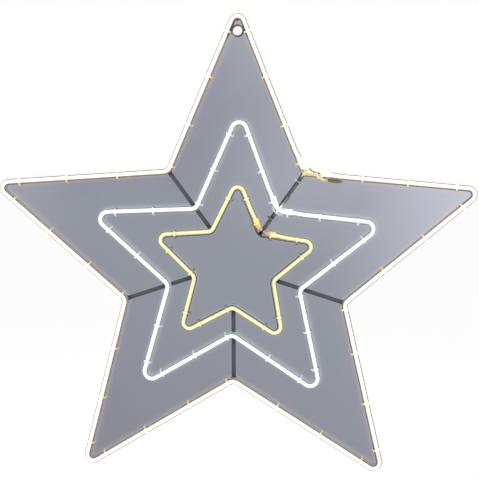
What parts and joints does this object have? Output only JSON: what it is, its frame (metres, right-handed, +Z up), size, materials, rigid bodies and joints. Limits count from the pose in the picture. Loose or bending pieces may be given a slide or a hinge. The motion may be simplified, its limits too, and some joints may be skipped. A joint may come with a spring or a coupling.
{
  "type": "led christmas star",
  "caption": "Wall star of nested steel frames with lit silicone tubes tied round each frame, joined by flat spokes, with a hanging ring in the top tip.",
  "frame": {"origin": "on the axis of the hanging ring, in the plane of the frame's back, which lies on the wall", "axes": "+Z up, the front with the tubes' domes faces -Y, X across the star"},
  "size_m": [0.6, 0.0201, 0.5719],
  "materials": {
    "painted_steel": "satin dark grey paint",
    "ring_steel": "bare steel",
    "warm_tube": "milky silicone, lit warm white",
    "cool_tube": "milky silicone, lit cool white",
    "yellow_tube": "milky silicone, lit yellow",
    "strip_board": "white flexible circuit strip",
    "clear_boot": "clear silicone boot",
    "amber_boot": "clear boot lit amber",
    "nylon_tie": "natural nylon",
    "clear_wire": "clear insulated wire",
    "shrink_sleeve": "dark heat-shrink"
  },
  "bodies": {
    "root": {"outer_frame_band": "painted_steel", "middle_frame_band": "painted_steel", "inner_frame_band": "painted_steel", "upper_right_spoke": "painted_steel", "lower_right_spoke": "painted_steel", "bottom_spoke": "painted_steel", "lower_left_spoke": "painted_steel", "upper_left_spoke": "painted_steel", "hanging_ring": "ring_steel", "outer_light_sleeve": "warm_tube", "outer_led_strip": "strip_board", "outer_first_boot": "clear_boot", "outer_last_boot": "clear_boot", "outer_first_boot_tie": "nylon_tie", "outer_last_boot_tie": "nylon_tie", "middle_light_sleeve": "cool_tube", "middle_led_strip": "strip_board", "middle_first_boot": "clear_boot", "middle_last_boot": "clear_boot", "middle_first_boot_tie": "nylon_tie", "middle_last_boot_tie": "nylon_tie", "inner_light_sleeve": "yellow_tube", "inner_led_strip": "strip_board", "inner_first_boot": "clear_boot", "inner_last_boot": "amber_boot", "inner_first_boot_tie": "nylon_tie", "inner_last_boot_tie": "nylon_tie", "outer_side_tie_1": "nylon_tie", "outer_side_tie_2": "nylon_tie", "outer_side_tie_3": "nylon_tie", "outer_side_tie_4": "nylon_tie", "outer_side_tie_5": "nylon_tie", "outer_side_tie_6": "nylon_tie", "outer_side_tie_7": "nylon_tie", "outer_side_tie_8": "nylon_tie", "outer_side_tie_9": "nylon_tie", "outer_side_tie_10": "nylon_tie", "outer_lower_right_valley_tie": "nylon_tie", "outer_bottom_valley_tie": "nylon_tie", "outer_lower_left_valley_tie": "nylon_tie", "outer_upper_left_valley_tie": "nylon_tie", "middle_side_tie_1": "nylon_tie", "middle_side_tie_2": "nylon_tie", "middle_side_tie_3": "nylon_tie", "middle_side_tie_4": "nylon_tie", "middle_side_tie_5": "nylon_tie", "inner_side_tie_1": "nylon_tie", "inner_side_tie_2": "nylon_tie", "inner_side_tie_3": "nylon_tie", "inner_side_tie_4": "nylon_tie", "inner_side_tie_5": "nylon_tie", "outer_spoke_tie": "nylon_tie", "inner_spoke_tie": "nylon_tie", "outer_link_wire": "clear_wire", "link_shrink_sleeve": "clear_boot", "inner_link_wire": "clear_wire", "supply_joint_sleeve": "shrink_sleeve", "supply_wire": "clear_wire"}
  },
  "joints": []
}
